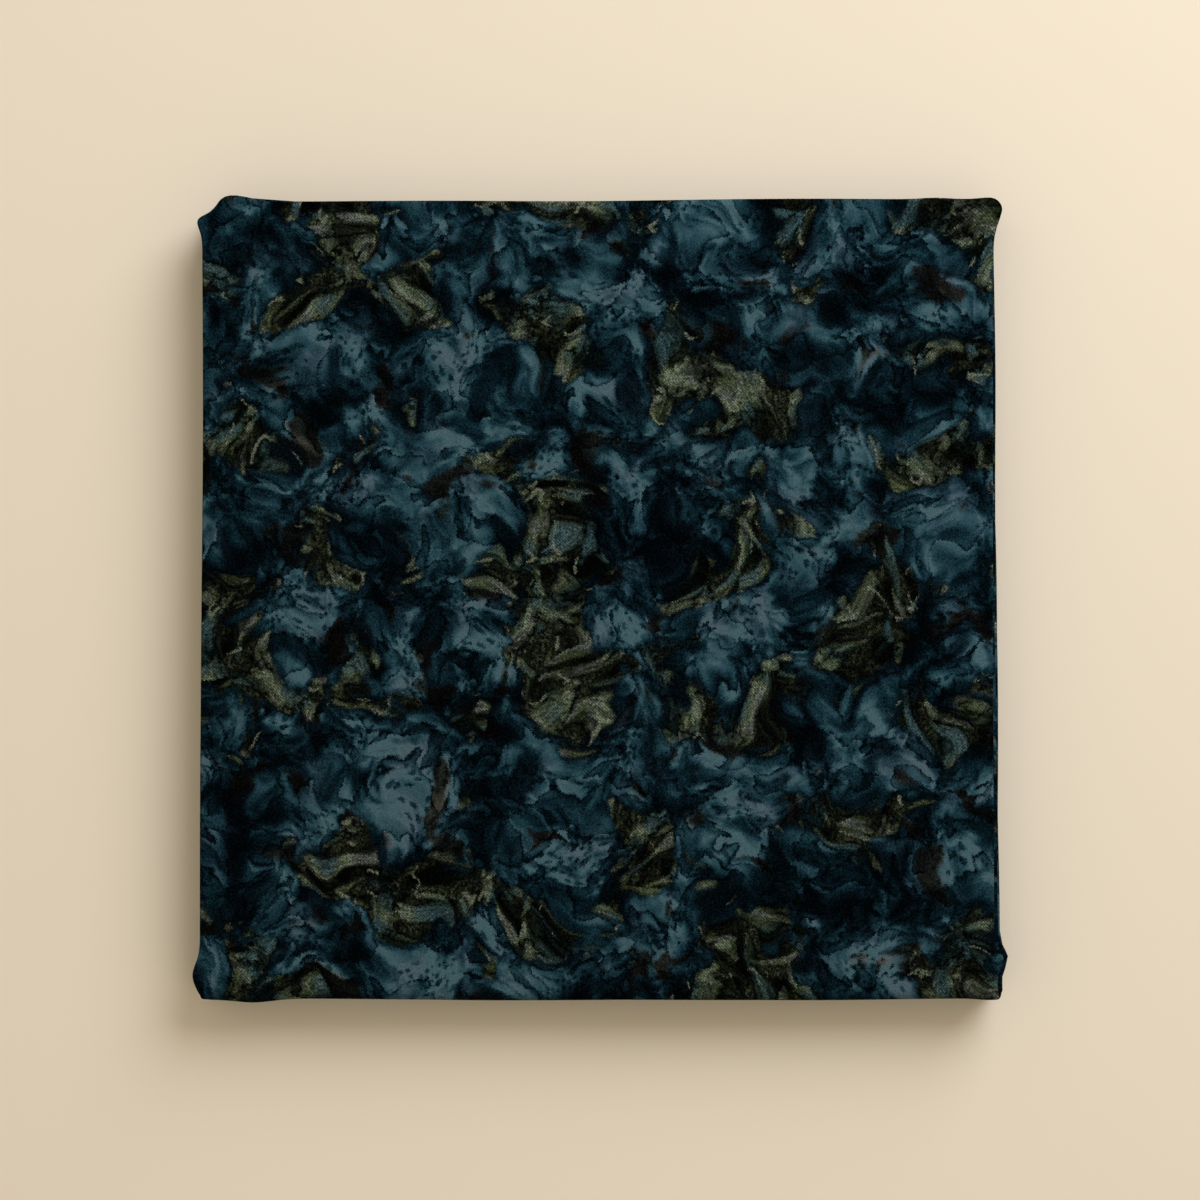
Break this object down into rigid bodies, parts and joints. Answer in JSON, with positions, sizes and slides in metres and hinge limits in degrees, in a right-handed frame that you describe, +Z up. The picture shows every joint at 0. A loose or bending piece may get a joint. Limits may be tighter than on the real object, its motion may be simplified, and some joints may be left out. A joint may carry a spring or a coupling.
{
  "type": "folded cotton fabric",
  "caption": "Length of dark mottled cotton cloth, folded in four across its width and then back and forth into a flat square block with soft folded rims.",
  "frame": {"origin": "under the middle of the block, on the surface that it lies on", "axes": "+Z up through the layers, +X to the right and +Y to the back of someone who looks down at the top; the folds of the panels run along X, at the front and the back"},
  "size_m": [0.2847, 0.2837, 0.0213],
  "materials": {
    "mottled_cotton": "matt dyed cotton with a fine twill"
  },
  "bodies": {
    "root": {"folded_cloth": "mottled_cotton"}
  },
  "joints": []
}
